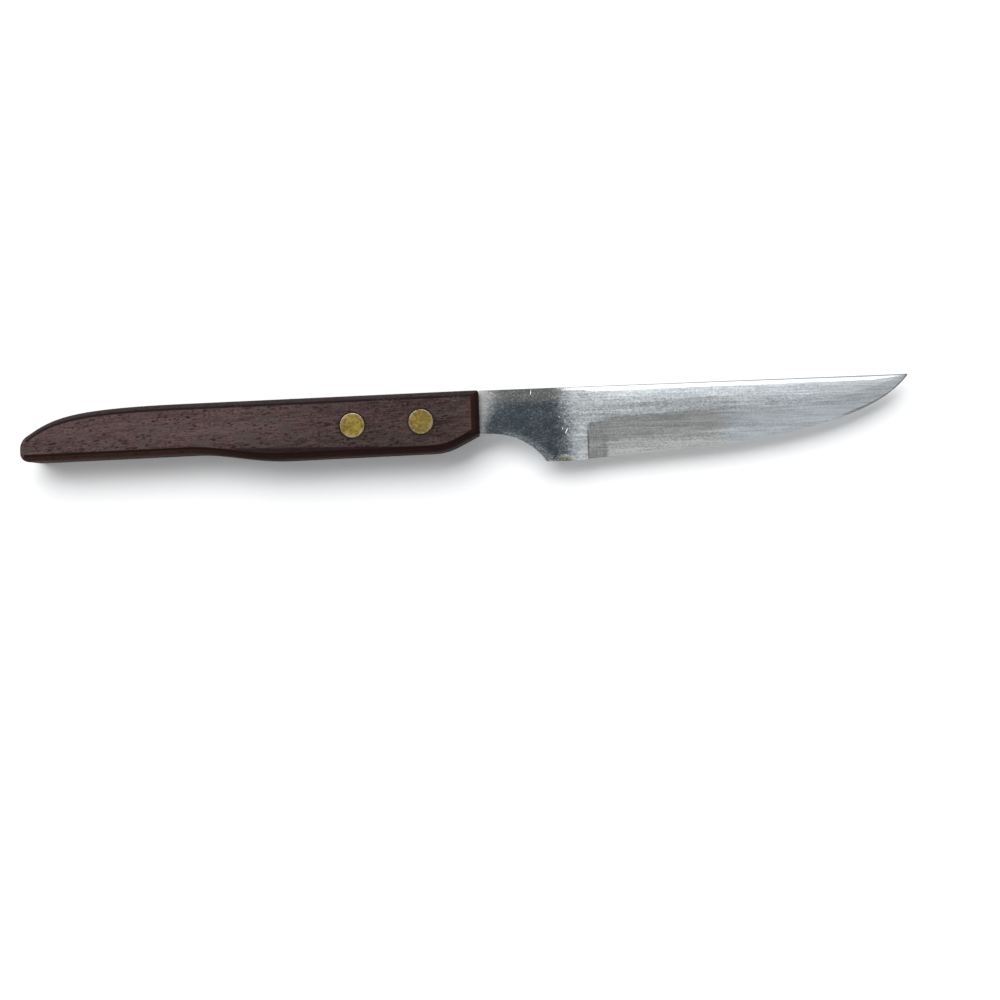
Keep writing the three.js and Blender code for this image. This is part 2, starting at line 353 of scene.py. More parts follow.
class Wiring:
    """The node tree of one material or of the world."""

    def __init__(self, tree: bpy.types.NodeTree) -> None:
        """Empties the tree."""
        self.tree = tree
        tree.nodes.clear()

    @staticmethod
    def find(sockets: Any, key: "int | str") -> bpy.types.NodeSocket:
        """A socket by its number, identifier or name."""
        if isinstance(key, int):
            return sockets[key]
        named = (socket for socket in sockets if socket.identifier == key)
        return next(named, None) or sockets[key]

    def node(
        self,
        kind: str,
        settings: dict[str, Any] | None = None,
        sockets: dict[Any, Any] | None = None,
        output: "int | str" = 0,
    ) -> Wire:
        """Adds a node.

        Args:
            kind: The node's type.
            settings: Properties that are set first.
            sockets: A value or a Wire for each input, by number, identifier or name.
            output: The output that is wanted.

        Returns:
            The output as a Wire.
        """
        made = self.tree.nodes.new(kind)
        for name, value in (settings or {}).items():
            setattr(made, name, value)
        for key, value in (sockets or {}).items():
            socket = self.find(made.inputs, key)
            if isinstance(value, Wire):
                self.tree.links.new(value.socket, socket)
            elif socket.type == "RGBA":
                socket.default_value = (*value, 1)
            else:
                socket.default_value = value
        outputs = made.outputs
        return Wire(self, self.find(outputs, output)) if len(outputs) else Wire(self, None)

    def mix(self, share: "Wire | float", first: "Wire | Colour", second: "Wire | Colour") -> Wire:
        """A colour between two colours: a share of 0 gives the first, 1 the second."""
        sockets = {"Factor_Float": share, "A_Color": first, "B_Color": second}
        return self.node("ShaderNodeMix", {"data_type": "RGBA"}, sockets, "Result_Color")

    def vector(self, operation: str, first: Any, second: Any, output: "int | str" = 0) -> Wire:
        """One Vector Math node on two vectors."""
        terms = {0: first, 1: second}
        return self.node("ShaderNodeVectorMath", {"operation": operation}, terms, output)

    def place(self, origin: Vector) -> Wire:
        """Where a point lies in the knife's own frame, in millimetres.

        Args:
            origin: The knife frame's origin in the CAD frame, in metres.

        Returns:
            The place as a vector.
        """
        spot = self.node("ShaderNodeTexCoord", output="Object")
        sockets = {"Vector": spot, "Location": -origin / MM, "Scale": (1 / MM,) * 3}
        return self.node("ShaderNodeMapping", {"vector_type": "POINT"}, sockets)

    def noise(self, place: Wire, size: Sequence[float], detail: float = 2, rough: float = 0.5) -> Wire:
        """Cloudy noise whose grains have a size.

        Args:
            place: Where a point lies, in millimetres.
            size: How large a grain is along each axis, in millimetres.
            detail: How many finer layers it has.
            rough: How strong the finer layers are.

        Returns:
            A value around 0.5.
        """
        sockets = {
            "Vector": self.vector("DIVIDE", place, size),
            "Scale": 1.0,
            "Detail": detail,
            "Roughness": rough,
        }
        return self.node("ShaderNodeTexNoise", {}, sockets, "Fac")

    def part(self, vector: Wire, axis: str) -> Wire:
        """One component of a vector."""
        return self.node("ShaderNodeSeparateXYZ", {}, {0: vector}, axis)

    def spot(self, place: Wire, centre: Place, reach: Place) -> Wire:
        """How far a point is from the middle of an oval, 1 on its outline.

        Args:
            place: Where a point lies, in millimetres.
            centre: The oval's middle.
            reach: Its half length and half height.

        Returns:
            The distance, in shares of the oval's size.
        """
        endless = 1e6
        offset = self.vector("SUBTRACT", place, (*centre, 0))
        share = self.vector("DIVIDE", offset, (*reach, endless))
        return self.vector("LENGTH", share, (0, 0, 0), "Value")

    def away(self, place: Wire, axis: Place) -> Wire:
        """How far a point is from an upright axis, in millimetres."""
        return self.spot(place, axis, (1, 1))

    def surface(self, shader: str, sockets: dict[Any, Any], output_kind: str) -> None:
        """Ends the tree in a shader and an output of these types."""
        self.node(output_kind, {}, {0: self.node(shader, {}, sockets)})

    def finish(self, sockets: dict[str, Any], height: Wire, strength: float, depth: float) -> None:
        """Ends a material's tree in a Principled shader with a bumped surface.

        Args:
            sockets: The shader's inputs, apart from its normal.
            height: The bump's height at a point.
            strength: How strong the bump is.
            depth: How deep it is, in metres.
        """
        relief = {"Strength": strength, "Distance": depth, "Height": height}
        bump = self.node("ShaderNodeBump", {}, relief)
        self.surface(
            "ShaderNodeBsdfPrincipled", {**sockets, "Normal": bump}, "ShaderNodeOutputMaterial"
        )


def strongest(masks: Iterable[Wire]) -> Wire:
    """The largest of several masks at each point."""
    return reduce(Wire.most, masks)


def new_material(name: str) -> tuple[bpy.types.Material, Wiring]:
    """A new material with an empty tree.

    Args:
        name: The material's name.

    Returns:
        The material and its wiring.
    """
    material = bpy.data.materials.new(name)
    material.use_nodes = True
    return material, Wiring(material.node_tree)


@dataclass(frozen=True)
class Curve:
    """A cubic curve that never turns back along x."""

    start: Vector
    start_pull: Vector
    end_pull: Vector
    end: Vector

    def point(self, share: float) -> Vector:
        """The point at a share of the way along."""
        rest = 1 - share
        return (
            self.start * rest**3
            + self.start_pull * 3 * rest**2 * share
            + self.end_pull * 3 * rest * share**2
            + self.end * share**3
        )

    def height_at(self, x: float) -> float:
        """Height of the curve above a place along x.

        Args:
            x: A place between the two ends.

        Returns:
            The curve's y there.
        """
        halvings = 40
        low, high = 0.0, 1.0
        forwards = self.end.x > self.start.x
        for _ in range(halvings):
            middle = (low + high) / 2
            if (self.point(middle).x < x) == forwards:
                low = middle
            else:
                high = middle
        return self.point(low).y


def between(first: float, last: float, count: int) -> list[float]:
    """So many evenly spaced values, both ends included."""
    return [first + (last - first) * step / (count - 1) for step in range(count)]


@dataclass(frozen=True)
class Rosewood:
    """Dry, dark red-brown wood, still dark with oil along its rounded edges, which also carry painted
    sheen, reflection and shade.
    """

    dry_light: Colour = (0.118, 0.073, 0.069)
    dry_dark: Colour = (0.048, 0.0285, 0.0275)
    dry_grey: Colour = (0.080, 0.064, 0.058)
    worn_dark: Colour = (0.46, 0.46, 0.46)
    worn_light: Colour = (0.68, 0.68, 0.68)
    front_rim: Colour = (0.105, 0.046, 0.032)
    # Painted sheen: grey on the oil-dark rounding of the back edge.
    edge_back_painted_sheen: Colour = (0.040, 0.030, 0.030)
    # Painted reflected light on the rounding under the handle.
    edge_under_painted_reflection: Colour = (0.050, 0.020, 0.014)
    # Painted shadow on the under rounding from the belly forwards.
    edge_belly_painted_shadow: Colour = (0.025, 0.009, 0.007)
    # Dark end grain with painted shade on the outer front rounding.
    edge_front_grain_and_shade: Colour = (0.017, 0.0085, 0.007)
    # Painted light on the front rounding next to the flat.
    front_painted_light: Colour = (0.029, 0.0105, 0.0072)
    # Painted dark reflection along the seam with the flat, and painted shadow at the belly.
    edge_painted_dark: Colour = (0.010, 0.0045, 0.004)
    pore: Colour = (0.017, 0.0075, 0.008)
    grime: Colour = (0.014, 0.011, 0.004)
    scuffed: Colour = (0.150, 0.125, 0.120)
    fibre_slant: float = math.radians(-3)
    pore_slant: float = math.radians(-8)
    wander: float = 1.6
    wander_size: Size = (26, 11, 9)
    band_size: Size = (40, 2.4, 5)
    fibre_size: Size = (2.8, 0.36, 0.6)
    fleck_size: Size = (0.62, 0.40, 0.5)
    patch_size: Size = (7, 3.4, 3)
    cluster_size: Size = (8, 3.5, 4)
    long_pore: Size = (2.5, 0.56, 0.55)
    long_kept: float = 0.84
    short_pore: Size = (1.35, 0.50, 0.46)
    short_kept: float = 0.80
    crack: Size = (8.0, 0.62, 0.7)
    crack_kept: float = 0.62
    crack_span: Span = (-22, -9)
    belly_span: Span = (-72, -52)
    worn_span: Span = (-62, -26)
    worn_below: Span = (-8.5, -12.8)
    front_rim_span: Span = (-2.9, -2.3)
    # Painted shadow along the flat's lower edge from the belly forwards.
    belly_shadow_slope: float = 0.027
    belly_shadow_below: Span = (-13.0, -13.5)
    belly_shadow_span: Span = (-66, -54)
    grime_width: float = 0.7

    def grain(self, wiring: Wiring, place: Wire, slant: float) -> Wire:
        """The place along the grain, which wanders a little.

        Args:
            wiring: The material's wiring.
            place: Where a point lies, in millimetres.
            slant: How far the grain is turned from the handle's length.

        Returns:
            The place as a vector.
        """
        turned = wiring.node("ShaderNodeMapping", {}, {"Vector": place, "Rotation": (0, 0, slant)})
        drift = (wiring.noise(place, self.wander_size, 1) - 0.5) * self.wander
        return wiring.vector("ADD", turned, wiring.node("ShaderNodeCombineXYZ", {}, {"Y": drift}))

    def pores(self, wiring: Wiring, grain: Wire, size: Sequence[float], kept: float) -> Wire:
        """Short dark vessels along the grain.

        Args:
            wiring: The material's wiring.
            grain: The place along the grain, in millimetres.
            size: Spacing of the vessels along each axis.
            kept: Share of the vessels that are open.

        Returns:
            1 inside a vessel, 0 outside.
        """
        cells = wiring.node(
            "ShaderNodeTexVoronoi",
            {"feature": "F1"},
            {"Vector": wiring.vector("DIVIDE", grain, size), "Scale": 1.0, "Randomness": 1.0},
            "Distance",
        )
        chance = wiring.part(cells.output("Color"), "X")
        reach = 0.20 + 0.24 * wiring.part(cells.output("Color"), "Y")
        return (reach - cells).rise(0.0, 0.16) * chance.rise(1 - kept, 1.2 - kept)

    def edge_colour(
        self, wiring: Wiring, along: Wire, facing: Wire, upright: Wire, tone: Wire
    ) -> Wire:
        """Colour of the rounded edges: oil-dark wood with painted sheen, reflection and shade that
        differ from side to side.

        Args:
            wiring: The material's wiring.
            along: Place along the handle.
            facing: Which way the surface faces, seen from above.
            upright: How far the surface faces up or down.
            tone: Lightness of the wood's own streaks.

        Returns:
            The colour.
        """
        # Painted light by which way the rounding faces: sheen on the back, reflected light and shadow
        # underneath, light and shade at the front.
        under = wiring.part(facing, "Y").rise(0.05, -0.15)
        front = wiring.part(facing, "X").rise(0.55, 0.90)
        # Painted dark reflection: a near-black line where the rounding meets the flat.
        seam = upright.rise(0.87, 0.955) * (1 - front) * (0.85 + 0.15 * (1 - tone))
        below = wiring.mix(along.rise(*self.belly_span), self.edge_under_painted_reflection, self.edge_belly_painted_shadow)
        colour = wiring.mix(under, self.edge_back_painted_sheen, below)
        # Painted light on the front rounding near the flat, painted shade further out.
        glow = upright.rise(0.60, 0.93) * (0.5 + 0.5 * tone)
        nose = wiring.mix(glow, self.edge_front_grain_and_shade, self.front_painted_light)
        colour = wiring.mix(front, colour, nose)
        return wiring.mix(seam.most(0.45 * (1 - tone)), colour, self.edge_painted_dark)

    def material(
        self, knife: "KnifeFrame", handle: "Handle", rivets: "Sequence[Rivet]"
    ) -> bpy.types.Material:
        """Makes the material.

        Args:
            knife: The knife's frame.
            handle: The handle, for its scuffs.
            rivets: The rivets, for the grime around their heads.

        Returns:
            The material.
        """
        material, wiring = new_material("rosewood")
        place = wiring.place(knife.origin)
        along, across = wiring.part(place, "X"), wiring.part(place, "Y")
        fibre_place = self.grain(wiring, place, self.fibre_slant)
        pore_place = self.grain(wiring, place, self.pore_slant)

        bands = wiring.noise(fibre_place, self.band_size, 3)
        fibres = wiring.noise(fibre_place, self.fibre_size, 3, 0.6)
        flecks = wiring.noise(place, self.fleck_size, 2, 0.6)
        patches = wiring.noise(place, self.patch_size, 2)
        clusters = wiring.noise(place, self.cluster_size, 1).rise(0.36, 0.58)
        long_pores = self.pores(wiring, pore_place, self.long_pore, self.long_kept)
        short_pores = self.pores(wiring, pore_place, self.short_pore, self.short_kept)
        cracks = self.pores(wiring, fibre_place, self.crack, self.crack_kept)
        cracks = cracks * along.rise(*self.crack_span)
        short_pores = short_pores * (0.4 + 0.6 * clusters)
        pores = strongest((long_pores * clusters, short_pores, 0.75 * cracks))

        normal = wiring.node("ShaderNodeTexCoord", output="Normal")
        upright = abs(wiring.part(normal, "Z"))
        facing = wiring.vector("NORMALIZE", wiring.vector("MULTIPLY", normal, (1, 1, 0)), (0, 0, 0))
        butt = wiring.part(facing, "X").rise(-0.50, -0.88)
        flat = upright.rise(0.9935, 0.9992).most(butt * upright.rise(0.50, 0.85))
        tone = (0.42 * fibres + 0.20 * bands + 0.38 * flecks).rise(0.39, 0.61)
        dry = wiring.mix(tone, self.dry_dark, self.dry_light)
        dry = wiring.mix(0.55 * patches.rise(0.44, 0.66), dry, self.dry_grey)
        worn = along.rise(*self.worn_span) + 0.4 * across.rise(*self.worn_below)
        shade = wiring.mix(tone, self.worn_dark, self.worn_light)
        dry = wiring.mix(0.7 * worn, dry, wiring.vector("MULTIPLY", dry, shade))
        dry = wiring.mix(0.3 * along.rise(*self.front_rim_span) * tone, dry, self.front_rim)
        # Painted shadow: the flat darkens along its lower edge from the belly forwards.
        swell = (across + self.belly_shadow_slope * along).rise(*self.belly_shadow_below)
        swell = swell * along.rise(*self.belly_shadow_span)
        dry = wiring.mix(0.8 * swell, dry, self.edge_painted_dark)
        colour = wiring.mix(flat, self.edge_colour(wiring, along, facing, upright, tone), dry)
        colour = wiring.mix(0.85 * pores, colour, self.pore)

        for scuff in handle.scuffs:
            mark = wiring.spot(place, scuff.centre, scuff.reach).rise(1.0, 0.2)
            colour = wiring.mix(mark * flecks.rise(0.44, 0.62) * scuff.strength, colour, self.scuffed)

        ring = strongest(
            wiring.away(place, rivet.axis).rise(rivet.head_radius + self.grime_width, rivet.head_radius)
            for rivet in rivets
        )
        colour = wiring.mix(0.7 * ring, colour, self.grime)

        roughness = 0.52 + 0.12 * flat + 0.10 * fibres + 0.15 * pores
        height = 0.4 * fibres + 0.15 * bands + 0.3 * flecks - 1.0 * pores
        sockets = {"Base Color": colour, "Roughness": roughness, "Specular IOR Level": 0.05}
        wiring.finish(sockets, height, strength=0.6, depth=0.0001)
        return material


@dataclass(frozen=True)
class SteelPoint:
    """What the blade's finish is made of at one point."""

    place: Wire
    along: Wire
    depth: Wire
    upper: Wire
    fine: Wire
    coarse: Wire
    grit: Wire
    loose: Wire

    @classmethod
    def on(cls, wiring: Wiring, knife: "KnifeFrame", steel: "BladeSteel") -> "SteelPoint":
        """Wires up the place on the blade and its textures.

        Args:
            wiring: The material's wiring.
            knife: The knife's frame.
            steel: The finish, for the sizes of its grain.

        Returns:
            The point's values.
        """
        place = wiring.place(knife.origin)
        return cls(
            place=place,
            along=wiring.part(place, "X"),
            depth=-1.0 * wiring.part(place, "Y"),
            upper=wiring.part(place, "Z").rise(-0.1, 0.1),
            fine=wiring.noise(place, steel.fine_size, 3, 0.6) - 0.5,
            coarse=wiring.noise(place, steel.coarse_size, 2) - 0.5,
            grit=wiring.noise(place, steel.grit_size, 2, 0.6) - 0.5,
            loose=wiring.noise(place, steel.loose_size, 3) - 0.5,
        )


@dataclass(frozen=True)
class BladeSteel:
    """Stainless steel, brushed lengthwise and polished at the ricasso, with painted sheen, reflections
    and shade in its colour.
    """

    # Painted shade and painted light: the darkest and the lightest steel of the painted sheen.
    painted_shade_steel: Colour = (0.36, 0.360, 0.352)
    bright: Colour = (0.915, 0.970, 1.0)
    warm: Colour = (0.93, 0.93, 0.88)
    # Painted shade along the spine's upper edge.
    spine_painted_shade: Colour = (0.20, 0.205, 0.21)
    polished: Colour = (0.74, 0.785, 0.80)
    polished_dark: Colour = (0.51, 0.55, 0.575)
    # Painted shade: colour for the tang where it runs into the handle.
    tarnish: Colour = (0.060, 0.052, 0.045)
    # Painted reflections of the room in the polish: beige by the handle, brown under the spine.
    painted_beige_reflection: Colour = (0.66, 0.64, 0.60)
    brown: Colour = (0.56, 0.53, 0.49)
    scored: Colour = (0.85, 0.85, 0.85)
    rust: Colour = (0.085, 0.066, 0.030)
    satin_rough: float = 0.34
    polish_rough: float = 0.12
    fine_size: Size = (8.0, 0.32, 0.5)
    coarse_size: Size = (22, 1.1, 1)
    grit_size: Size = (0.44, 0.32, 0.5)
    loose_size: Size = (2.4, 1.8, 2)
    streak_size: Size = (0.34, 6, 0.4)
    flat_tip: Span = (50, 68)
    # Painted sheen towards the spine.
    spine_painted_sheen: Span = (6.5, 1.2)
    spine_painted_sheen_start: Span = (22, 36)
    strip_start: Span = (19, 22)
    strip_end: Span = (26.5, 25)
    strip_depth: Span = (6, 10)
    point_shade: Span = (78, 94)
    ground_tip: Span = (53, 63)
    # Painted highlight along the edge, and a painted glint on the honed edge.
    edge_painted_highlight: Span = (4.8, 0.8)
    edge_painted_glint: Span = (0.5, 0.2)
    edge_painted_glint_start: Span = (29, 32)
    edge_painted_glint_end: Span = (50, 40)
    satin_run: float = 7.4
    satin_lean: Span = (9, 5)
    plunge_edge: Span = (-0.05, 0.1)
    grind_edge: Span = (-0.25, 0.7)
    choil_rim_width: Span = (1.2, -0.3)
    choil_rim_start: Span = (4.5, 8)
    handle_lean: Span = (5, 9.5)
    handle_reach: Span = (6.4, -1.3)
    spine_reach: Span = (4.3, 2.1)
    rough_depth: Span = (5.5, 0.8)
    rough_start: Span = (22, 34)
    ridge_lift: float = 0.6
    ridge_width: Span = (0.26, 0.08)
    ridge_start: Span = (30, 60)
    ridge_end: Span = (88, 76)
    dark_edge_width: Span = (0.55, 0.3)
    dark_edge_start: Span = (82, 90)
    brush_tip: Span = (50, 62)
    grit_tip: Span = (76, 90)
    warm_end: Span = (60, 55)
    spine_painted_shade_depth: Span = (0.50, 0.18)
    spine_painted_shade_start: Span = (18, 26)
    tang_span: Span = (-0.05, -0.3)

    def scratch(self, wiring: Wiring, place: Wire, mark: "Scratch") -> Wire:
        """A scratch: 1 on it, 0 beside it.

        Args:
            wiring: The material's wiring.
            place: Where a point lies, in millimetres.
            mark: The scratch.

        Returns:
            The scratch's mask.
        """
        along = Vector(mark.end) - Vector(mark.start)
        middle = (Vector(mark.start) + Vector(mark.end)) / 2
        turn = -math.atan2(along.y, along.x)
        offset = wiring.vector("SUBTRACT", place, (*middle, 0))
        turned = wiring.node("ShaderNodeMapping", {}, {"Vector": offset, "Rotation": (0, 0, turn)})
        return wiring.spot(turned, (0, 0), (along.length / 2, mark.width / 2)).rise(1.0, 0.5)

    def flat_painted_sheen(self, at: SteelPoint) -> Wire:
        """Painted sheen: how bright the unground strip is, most at the spine, and more evenly so near
        the tip.
        """
        tipward = at.along.rise(*self.flat_tip)
        glow = at.depth.rise(*self.spine_painted_sheen)
        spineward = glow * (0.35 + 0.65 * at.along.rise(*self.spine_painted_sheen_start))
        strip = at.along.rise(*self.strip_start) * at.along.rise(*self.strip_end)
        strip = strip * at.depth.rise(*self.strip_depth)
        even = 0.32 + 0.20 * strip + 0.25 * tipward - 0.05 * at.along.rise(*self.point_shade)
        return even + (0.38 - 0.17 * tipward) * spineward

    def ground_painted_sheen(self, at: SteelPoint, blade: "Blade", to_edge: Wire) -> Wire:
        """Painted sheen on the hollow grind: painted shade behind, painted light in front, and a
        flecked painted highlight and glint along the edge.

        Args:
            at: The point's values.
            blade: The blade.
            to_edge: How far the straight part of the edge is.

        Returns:
            The brightness.
        """
        tipward = at.along.rise(*self.ground_tip)
        behind = blade.streaked_shade_strip(at.along)
        flecks = at.grit.rise(-0.14, 0.14)
        # Painted highlight along the straight edge, flecked by the grit.
        near_edge = to_edge.rise(*self.edge_painted_highlight) * (1 - tipward) * (1 - behind)
        # Painted glint: a pale line on the honed edge.
        line = to_edge.rise(*self.edge_painted_glint)
        line = line * at.along.rise(*self.edge_painted_glint_start) * at.along.rise(*self.edge_painted_glint_end)
        painted_sheen_and_grain = 0.37 + 0.42 * tipward - 0.10 * behind
        return painted_sheen_and_grain + near_edge * (0.38 + 0.2 * flecks) + 0.3 * line

    def material(self, knife: "KnifeFrame", blade: "Blade") -> bpy.types.Material:
        """Makes the material.

        Args:
            knife: The knife's frame.
            blade: The blade, for where its finish changes.

        Returns:
            The material.
        """
        material, wiring = new_material("blade_steel")
        at = SteelPoint.on(wiring, knife, self)

        ground = (at.along - blade.plunge_x).rise(*self.plunge_edge)
        brushed_place = at.along + 0.6 * at.depth.rise(*self.satin_lean)
        brushed_place = brushed_place + 1.6 * at.grit + 1.0 * at.loose
        satin = brushed_place.rise(blade.satin_start, blade.satin_start + self.satin_run)
        from_choil = wiring.away(at.place, blade.choil_centre) - blade.choil_radius
        rim = (from_choil - 0.09 * at.along + 1.0 * at.grit).rise(*self.choil_rim_width)
        rim = rim * at.along.rise(*self.choil_rim_start)
        leaning = at.along * (1 + 1.2 * at.depth.rise(*self.handle_lean))
        by_handle = (leaning + 0.8 * at.grit).rise(*self.handle_reach)
        by_spine = (at.depth + 0.7 * at.grit + 0.9 * at.loose).rise(*self.spine_reach)
        polish = (1 - 0.93 * by_handle) * (1 - satin) * (1 - 0.34 * by_spine)
        polish = polish * (1 - 0.45 * rim) * (1 - ground)

        line = blade.grind_line(at.along)
        ground = ground * (at.depth - line).rise(*self.grind_edge)
        # Painted shade with streaks on the strip behind the plunge.
        behind = ground * blade.streaked_shade_strip(at.along)
        streak = wiring.noise(at.place, self.streak_size, 2) - 0.5
        to_edge = blade.straight_edge(at.along) - at.depth
        # Painted sheen by region, then the brushed grain on top.
        painted_sheen_and_grain = self.flat_painted_sheen(at) * (1 - ground) + self.ground_painted_sheen(at, blade, to_edge) * ground
        # Painted shade: a darker streaky band just above the grind line.
        ridge = abs(at.depth - line + self.ridge_lift).rise(*self.ridge_width)
        ridge = ridge * at.along.rise(*self.ridge_start) * at.along.rise(*self.ridge_end)
        painted_sheen_and_grain = painted_sheen_and_grain - 0.25 * ridge * (at.fine + 0.5).rise(0.36, 0.6)
        # Painted dark reflection: a thin dark line along the edge near the tip.
        dark_edge = (blade.tip_edge(at.along) - at.depth).rise(*self.dark_edge_width)
        painted_sheen_and_grain = painted_sheen_and_grain - 0.7 * dark_edge * at.along.rise(*self.dark_edge_start)
        brushed = 0.85 * at.fine + 0.35 * at.coarse
        brushed = brushed * (1 + 0.5 * at.along.rise(*self.brush_tip))
        gritty = 1.5 * at.grit * (1 - 0.4 * ground) * (1 - 0.4 * at.along.rise(*self.grit_tip))
        painted_sheen_and_grain = painted_sheen_and_grain + brushed + gritty + 0.5 * streak * behind

        # Painted light: the lit end of the painted sheen, warmer on the back of the grind.
        gleam = wiring.mix(ground * at.along.rise(*self.warm_end), self.bright, self.warm)
        colour = wiring.mix(painted_sheen_and_grain, self.painted_shade_steel, gleam)
        slate = wiring.mix(0.5 + 2.2 * at.grit + 1.8 * at.loose, self.polished_dark, self.polished)
        colour = wiring.mix(polish, colour, slate)
        # Painted reflections: beige by the handle, brown under the spine.
        colour = wiring.mix(0.8 * by_handle, colour, self.painted_beige_reflection)
        colour = wiring.mix(0.8 * by_spine * (1 - satin) * (1 - by_handle), colour, self.brown)
        # Painted shade: a thin dark line along the spine's upper edge.
        on_spine = at.depth.rise(*self.spine_painted_shade_depth) * at.along.rise(*self.spine_painted_shade_start)
        colour = wiring.mix(on_spine, colour, self.spine_painted_shade)

        scratches = strongest(
            self.scratch(wiring, at.place, mark) * at.upper * mark.strength for mark in blade.scratches
        )
        colour = wiring.mix(scratches, colour, self.scored)

        heel = wiring.spot(at.place, blade.rust_centre, blade.rust_reach).rise(1.0, 0.3)
        rust = heel * (at.grit + 0.6 * at.loose).rise(-0.14, 0.10)
        colour = wiring.mix(rust, colour, self.rust)
        # Painted shade: the tang is darkened where it runs into the handle's slot.
        tang = at.along.rise(*self.tang_span)
        colour = wiring.mix(tang, colour, self.tarnish)

        specks = at.grit.rise(0.0, 0.20)
        satin_rough = self.satin_rough + 0.10 * at.fine + 0.08 * at.coarse + 0.12 * at.grit
        by_top = at.depth.rise(*self.rough_depth) * at.along.rise(*self.rough_start)
        satin_rough = satin_rough + 0.07 * by_top
        polish_rough = self.polish_rough + 0.05 * specks + 0.10 * at.grit + 0.08 * at.loose
        roughness = satin_rough * (1 - polish) + polish * polish_rough
        roughness = roughness + 0.22 * scratches + 0.25 * rust + 0.3 * tang
        height = (at.fine + 0.5 * at.grit) * (1 - polish) + 0.3 * at.grit * polish
        height = height + 0.6 * streak * behind - 2.0 * scratches
        sockets = {"Base Color": colour, "Roughness": roughness, "Metallic": 1 - 0.8 * rust}
        wiring.finish(sockets, height, strength=0.5, depth=0.00003)
        return material


@dataclass(frozen=True)
class RivetBrass:
    """Brass sanded flush with the wood, tarnished in the middle and rubbed pale at the rim."""

    gold: Colour = (0.315, 0.222, 0.050)
    olive: Colour = (0.165, 0.116, 0.028)
    rim: Colour = (0.29, 0.245, 0.155)
    brown: Colour = (0.14, 0.085, 0.030)
    grey: Colour = (0.18, 0.155, 0.085)
    patch_size: Size = (0.9, 0.8, 0.9)
    grain_size: Size = (0.42, 0.40, 0.4)
    line_size: Size = (1.6, 0.07, 0.3)
    cloud_size: Size = (1.5, 1.2, 1.0)
    stain_size: Size = (0.8, 0.6, 0.6)
    rim_start: float = 0.70
    rim_full: float = 0.25

    def material(self, knife: "KnifeFrame", rivet: "Rivet") -> bpy.types.Material:
        """Makes one rivet's material.

        Args:
            knife: The knife's frame.
            rivet: The rivet.

        Returns:
            The material.
        """
        material, wiring = new_material(f"{rivet.name}_brass")
        place = wiring.place(knife.origin)
        away = wiring.away(place, rivet.axis) - rivet.head_radius
        patches = wiring.noise(place, self.patch_size, 3, 0.6)
        grain = wiring.noise(place, self.grain_size, 2)
        lines = wiring.noise(place, self.line_size, 2)

        mottled = (0.6 * patches + 0.4 * grain).rise(0.38, 0.62)
        colour = wiring.mix(mottled, self.olive, self.gold)
        edge = (away + 1.4 * (patches - 0.5)).rise(-self.rim_start, -self.rim_full)
        broken = (patches + 0.5 * grain).rise(0.56, 0.86)
        colour = wiring.mix(edge * (0.40 + 0.5 * broken), colour, self.rim)
        clouds = wiring.noise(place, self.cloud_size, 2).rise(0.46, 0.60)
        colour = wiring.mix(0.5 * rivet.tarnish * clouds, colour, self.grey)
        stain = wiring.noise(place, self.stain_size, 2).rise(0.52, 0.64)
        spots = grain.rise(0.60, 0.70)
        colour = wiring.mix(rivet.tarnish * stain.most(spots), colour, self.brown)

        roughness = 0.36 + 0.14 * (patches - 0.5) + 0.12 * (grain - 0.5) + 0.2 * rivet.tarnish * stain
        height = 0.5 * grain + 0.5 * lines
        sockets = {"Base Color": colour, "Roughness": roughness, "Metallic": 1.0}
        wiring.finish(sockets, height, strength=0.4, depth=0.00003)
        return material


@dataclass(frozen=True)
class KnifeFrame:
    """Where the knife's own frame sits in the CAD frame."""

    origin: Vector

    @classmethod
    def from_cad(cls) -> "KnifeFrame":
        """Reads the frame off the CAD nodes: handle's front face, spine line and mid steel."""
        _, handle_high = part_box("handle")
        blade_low, blade_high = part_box("blade")
        return cls(Vector((handle_high.x, blade_high.y, (blade_low.z + blade_high.z) / 2)))


@dataclass(frozen=True)
class Scuff:
    """A dry, pale patch rubbed into the wood."""

    centre: Place
    reach: Place
    strength: float


@dataclass(frozen=True)
class Scratch:
    """A short bright scratch in the steel."""

    start: Place
    end: Place
    width: float = 0.15
    strength: float = 0.8


